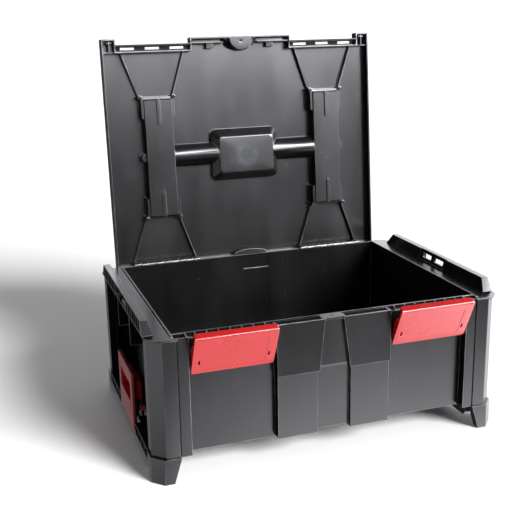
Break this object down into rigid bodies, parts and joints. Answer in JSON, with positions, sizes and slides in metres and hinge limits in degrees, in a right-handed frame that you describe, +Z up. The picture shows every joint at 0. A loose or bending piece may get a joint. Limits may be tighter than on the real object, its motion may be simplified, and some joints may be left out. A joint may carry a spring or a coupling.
{
  "type": "stackable transport case with hinged lid",
  "caption": "Stackable plastic case with a hinged lid standing open, red front latches, ribbed stacking rails, side coupling flaps and a recessed carrying handle.",
  "frame": {"origin": "on the floor below the middle of the case with its lid open", "axes": "+Z up, +X to the right of someone facing the latches, +Y from the latches to the hinge"},
  "size_m": [0.6008, 0.5016, 0.6533],
  "materials": {
    "black_plastic": "satin moulded black plastic with a fine grain",
    "red_plastic": "satin moulded red plastic",
    "rubber_sleeve": "soft matt",
    "steel": "plain bright steel"
  },
  "bodies": {
    "case": {"tub": "black_plastic", "left_top_rail": "black_plastic", "left_base_rail": "black_plastic", "left_hinge_pin": "steel", "left_latch_pin": "steel", "left_flap_pin": "black_plastic", "left_flap_spring": "steel", "right_top_rail": "black_plastic", "right_base_rail": "black_plastic", "right_hinge_pin": "steel", "right_latch_pin": "steel", "right_flap_pin": "black_plastic", "right_flap_spring": "steel", "left_rear_pin_cap": "red_plastic", "left_front_pin_cap": "red_plastic", "right_rear_pin_cap": "red_plastic", "right_front_pin_cap": "red_plastic"},
    "lid": {"lid": "black_plastic", "left_rear_well_cap": "black_plastic", "left_rear_inner_screw": "steel", "left_rear_outer_screw": "steel", "left_front_well_cap": "black_plastic", "left_front_inner_screw": "steel", "left_front_outer_screw": "steel", "right_rear_well_cap": "black_plastic", "right_rear_inner_screw": "steel", "right_rear_outer_screw": "steel", "right_front_well_cap": "black_plastic", "right_front_inner_screw": "steel", "right_front_outer_screw": "steel"},
    "handle": {"handle_grip": "black_plastic", "handle_sleeve": "rubber_sleeve", "left_rear_arm_pin": "steel", "left_front_arm_pin": "steel", "right_rear_arm_pin": "steel", "right_front_arm_pin": "steel"},
    "left_rear_arm": {"left_rear_arm": "black_plastic"},
    "left_front_arm": {"left_front_arm": "black_plastic"},
    "right_rear_arm": {"right_rear_arm": "black_plastic"},
    "right_front_arm": {"right_front_arm": "black_plastic"},
    "left_latch": {"left_latch": "red_plastic"},
    "right_latch": {"right_latch": "red_plastic"},
    "left_flap": {"left_flap_face": "red_plastic", "left_flap_carrier": "black_plastic"},
    "right_flap": {"right_flap_face": "red_plastic", "right_flap_carrier": "black_plastic"}
  },
  "joints": [
    {"name": "lid_hinge", "type": "hinge", "parent": "case", "child": "lid", "pos_m": [0, 0.19334, 0.234], "axis": [1, 0, 0], "range_deg": [0, 94.84]},
    {"name": "handle_lift", "type": "slide", "parent": "lid", "child": "handle", "axis": [0, 0.9964, -0.0844], "range_m": [0, 0.036]},
    {"name": "left_rear_arm_pivot", "type": "hinge", "parent": "handle", "child": "left_rear_arm", "pos_m": [0, 0.21353, 0.42498], "axis": [-1, 0, 0], "range_deg": [0, 25.1]},
    {"name": "left_front_arm_pivot", "type": "hinge", "parent": "handle", "child": "left_front_arm", "pos_m": [0, 0.21522, 0.44491], "axis": [1, 0, 0], "range_deg": [0, 25.1]},
    {"name": "right_rear_arm_pivot", "type": "hinge", "parent": "handle", "child": "right_rear_arm", "pos_m": [0, 0.21353, 0.42498], "axis": [-1, 0, 0], "range_deg": [0, 25.1]},
    {"name": "right_front_arm_pivot", "type": "hinge", "parent": "handle", "child": "right_front_arm", "pos_m": [0, 0.21522, 0.44491], "axis": [1, 0, 0], "range_deg": [0, 25.1]},
    {"name": "left_latch_hinge", "type": "hinge", "parent": "case", "child": "left_latch", "pos_m": [0, -0.21416, 0.18], "axis": [-1, 0, 0], "range_deg": [0, 25.8]},
    {"name": "right_latch_hinge", "type": "hinge", "parent": "case", "child": "right_latch", "pos_m": [0, -0.21416, 0.18], "axis": [-1, 0, 0], "range_deg": [0, 25.8]},
    {"name": "left_flap_hinge", "type": "hinge", "parent": "case", "child": "left_flap", "pos_m": [-0.283, -0.01816, 0.065], "axis": [0, -1, 0], "range_deg": [0, 6], "stiffness_Nm_per_rad": 0.25, "springref_deg": -17.19},
    {"name": "right_flap_hinge", "type": "hinge", "parent": "case", "child": "right_flap", "pos_m": [0.283, -0.01816, 0.065], "axis": [0, 1, 0], "range_deg": [0, 6], "stiffness_Nm_per_rad": 0.25, "springref_deg": -17.19}
  ],
  "couplings": [
    {"joint": "left_rear_arm_pivot", "follows": "handle_lift", "rad_per_m": 12.15},
    {"joint": "left_front_arm_pivot", "follows": "handle_lift", "rad_per_m": 12.15},
    {"joint": "right_rear_arm_pivot", "follows": "handle_lift", "rad_per_m": 12.15},
    {"joint": "right_front_arm_pivot", "follows": "handle_lift", "rad_per_m": 12.15}
  ]
}
